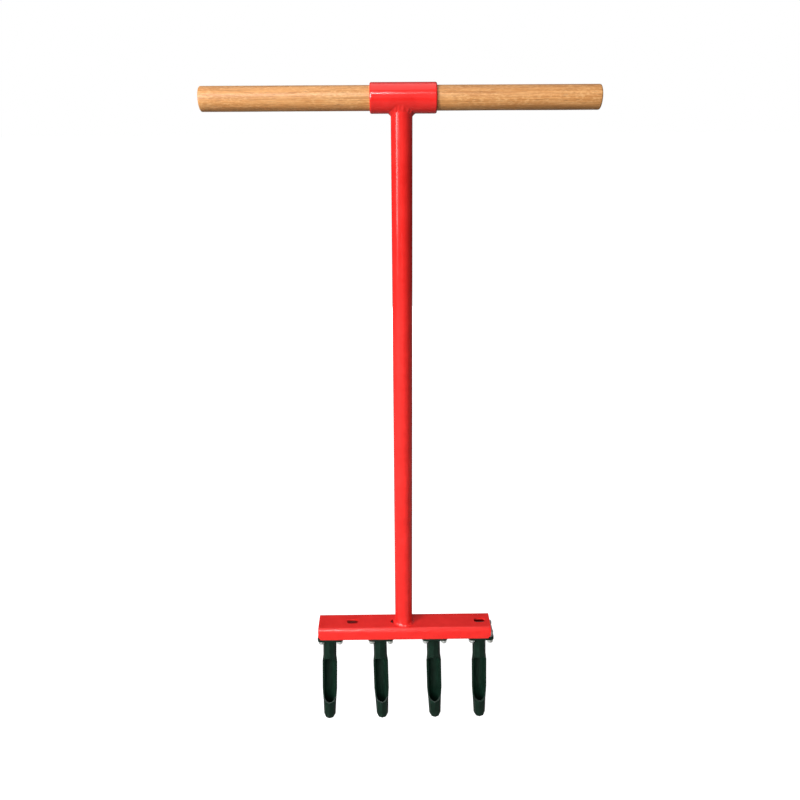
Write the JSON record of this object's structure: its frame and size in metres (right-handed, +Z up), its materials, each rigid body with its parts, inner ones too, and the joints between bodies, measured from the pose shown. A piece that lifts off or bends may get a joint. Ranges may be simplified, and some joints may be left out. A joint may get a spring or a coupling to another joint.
{
  "type": "core aerator",
  "caption": "Hand core aerator: wooden cross handle in a red welded steel T, over a folded bar that carries dark hollow coring tines bolted up to its lips.",
  "frame": {"origin": "centre of the object's footprint, on the shaft's axis and level with the tine tips", "axes": "+Z up along the shaft to the handle, +X along the handle and the bar, -Y to the front, where the tine windows face"},
  "size_m": [0.454, 0.039, 0.9097],
  "materials": {
    "red_paint": "glossy bright red enamel over steel",
    "wood": "straight-grained light hardwood with a clear satin finish",
    "tine_black": "very dark green-black semi-gloss coating on forged steel",
    "zinc": "bright zinc plating",
    "zinc_plate": "dull zinc plating on cut steel strip"
  },
  "bodies": {
    "frame": {"cross_handle": "wood", "handle_sleeve": "red_paint", "handle_screw": "zinc", "shaft_tube": "red_paint", "upper_weld": "red_paint", "lower_weld": "red_paint", "tine_bar": "red_paint"},
    "tine_set_1": {"tine_1": "tine_black", "tine_flange_1": "tine_black", "tine_weld_1": "tine_black", "clamp_plate_1": "zinc_plate", "bolts_1": "zinc", "washers_1": "zinc", "nuts_1": "zinc"},
    "tine_set_2": {"tine_2": "tine_black", "tine_flange_2": "tine_black", "tine_weld_2": "tine_black", "clamp_plate_2": "zinc_plate", "bolts_2": "zinc", "washers_2": "zinc", "nuts_2": "zinc"},
    "tine_set_3": {"tine_3": "tine_black", "tine_flange_3": "tine_black", "tine_weld_3": "tine_black", "clamp_plate_3": "zinc_plate", "bolts_3": "zinc", "washers_3": "zinc", "nuts_3": "zinc"},
    "tine_set_4": {"tine_4": "tine_black", "tine_flange_4": "tine_black", "tine_weld_4": "tine_black", "clamp_plate_4": "zinc_plate", "bolts_4": "zinc", "washers_4": "zinc", "nuts_4": "zinc"}
  },
  "joints": [
    {"name": "tine_1_slide", "type": "slide", "parent": "frame", "child": "tine_set_1", "axis": [1, 0, 0], "range_m": [0, 0.016]},
    {"name": "tine_2_slide", "type": "slide", "parent": "frame", "child": "tine_set_2", "axis": [1, 0, 0], "range_m": [-0.017, 0.018]},
    {"name": "tine_3_slide", "type": "slide", "parent": "frame", "child": "tine_set_3", "axis": [1, 0, 0], "range_m": [-0.019, 0.013]},
    {"name": "tine_4_slide", "type": "slide", "parent": "frame", "child": "tine_set_4", "axis": [1, 0, 0], "range_m": [-0.013, 0]}
  ]
}
